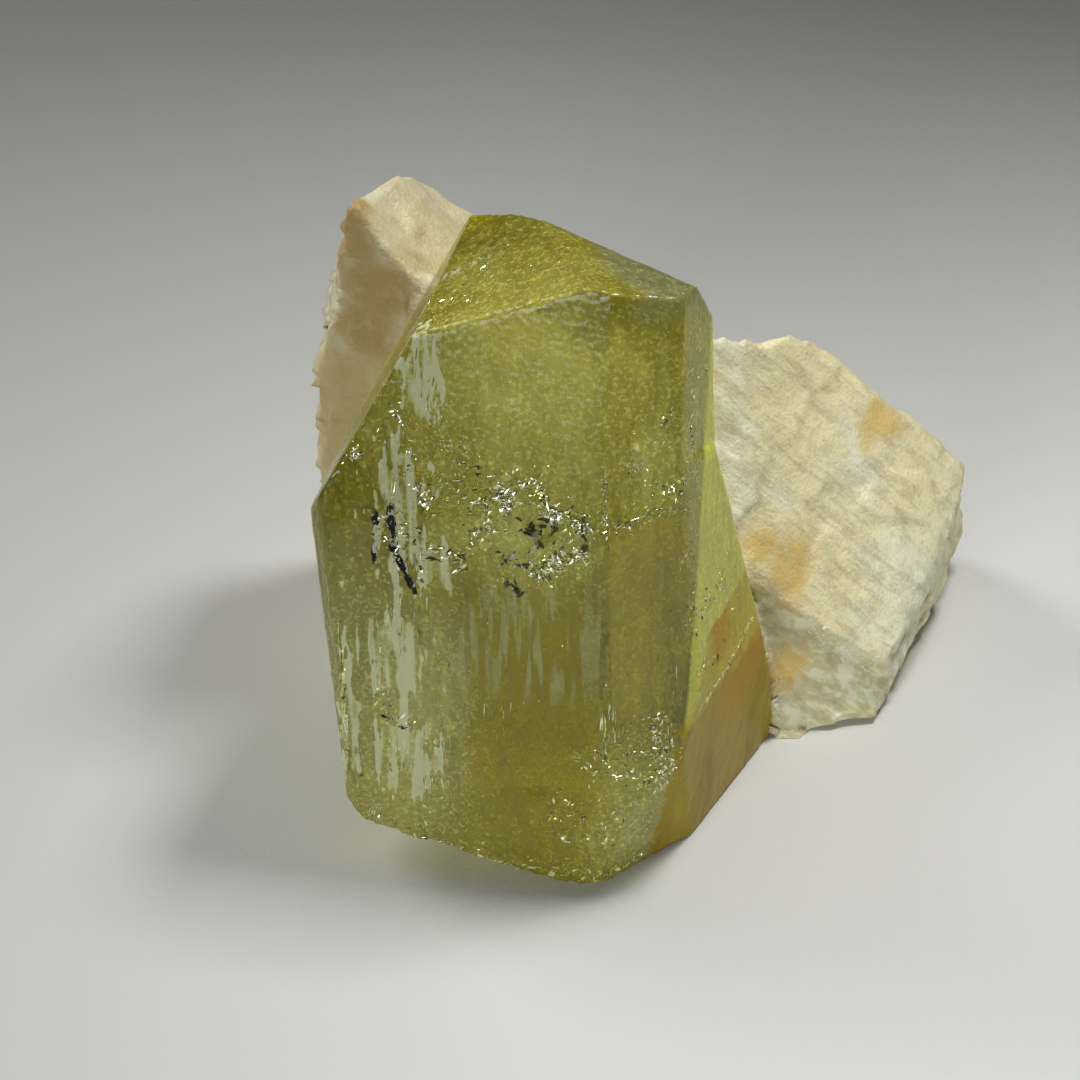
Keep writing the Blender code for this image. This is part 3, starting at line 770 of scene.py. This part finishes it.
# Black to the left and dark green to the right, both painted shade in the openings, with grey on some
# chips.
crack_and_shade_colour = crack_shade_finish.blend(crack_shade_finish.beyond((-11.2, 0.0, 0.0), (1.0, 0.0, 0.0), 0.3), CRACK_SHADE_BLACK, HOLLOW_SHADE_GREEN)
crack_and_shade_colour = crack_shade_finish.blend(patch.between(0.55, 0.58), crack_and_shade_colour, CRACK_GREY)
crack_shade_finish.surface(crack_shade_finish.node("BsdfPrincipled", {}, {"Base Color": crack_and_shade_colour, "Roughness": 0.2, "IOR": 1.3}))
cracks.data.materials.append(crack_shade_finish.material)
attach(cracks, "root")

# The specimen stands on plain pale paper, in soft light from above and from behind it, with a
# weaker light before its front and a dim even light from all round.
FLOOR_COLOUR = (0.72, 0.73, 0.70)
FLOOR_WIDTH = 1.2
LAMPS = [
    ("lamp overhead", (0.036, 0.014, 0.125), (0.028, -0.05, 0.0), 0.03, 0.0515, (1.0, 0.99, 0.97), 112),
    ("window behind left", (-0.17, 0.10, 0.15), (0.0, -0.01, 0.01), 0.12, 0.034, (1.0, 0.99, 0.96), 60),
    ("lamp in front", (-0.08, -0.18, 0.085), (-0.005, -0.01, 0.012), 0.09, 0.0165, (0.97, 0.99, 1.0), 60),
]
ROOM_COLOUR = (0.80, 0.83, 0.85)
ROOM_STRENGTH = 0.065
bpy.ops.mesh.primitive_plane_add(size=FLOOR_WIDTH)
floor = bpy.context.object
floor.name = "paper"
paper = Finish("paper")
tooth = paper.noise(3.0, 2.0, 0.7)
paper_shader = paper.node("BsdfPrincipled", {}, {
    "Base Color": (*FLOOR_COLOUR, 1.0), "Roughness": 0.7, "Normal": paper.bump(tooth, 0.05 * MM, 0.5)})
paper.surface(paper_shader)
floor.data.materials.append(paper.material)


def softbox(name, place, target, width, power, colour, spread):
    """Square lamp at a place, turned to a target, its beam this many degrees wide."""
    lamp = bpy.data.lights.new(name, "AREA")
    lamp.size = width
    lamp.energy = power
    lamp.color = colour
    lamp.spread = radians(spread)
    stand = bpy.data.objects.new(name, lamp)
    stand.location = place
    stand.rotation_euler = (Vector(target) - Vector(place)).to_track_quat("-Z", "Y").to_euler()
    bpy.context.scene.collection.objects.link(stand)


for lamp in LAMPS:
    softbox(*lamp)
sky = bpy.data.worlds.new("room")
sky.use_nodes = True
sky.node_tree.nodes["Background"].inputs["Color"].default_value = (*ROOM_COLOUR, 1.0)
sky.node_tree.nodes["Background"].inputs["Strength"].default_value = ROOM_STRENGTH
bpy.context.scene.world = sky
bpy.context.scene.view_settings.view_transform = "Standard"

# The camera looks down on the crystal's front with a long lens, as in a close-up photograph. It
# stands straight before the front and isn't rolled.
CAMERA_AIM = Vector((-6.13, -5.27, 15.0)) * MM
CAMERA_ELEVATION = 38
CAMERA_DISTANCE = 150 * MM
CAMERA_LENS = 100
CAMERA_SENSOR = 36
camera = bpy.data.objects.new("camera", bpy.data.cameras.new("camera"))
camera.data.lens = CAMERA_LENS
camera.data.sensor_width = CAMERA_SENSOR
camera.data.clip_start = 5 * MM
towards = facing(0, CAMERA_ELEVATION)
camera.location = CAMERA_AIM + towards * CAMERA_DISTANCE
camera.rotation_euler = (-towards).to_track_quat("-Z", "Y").to_euler()
bpy.context.scene.collection.objects.link(camera)
bpy.context.scene.camera = camera
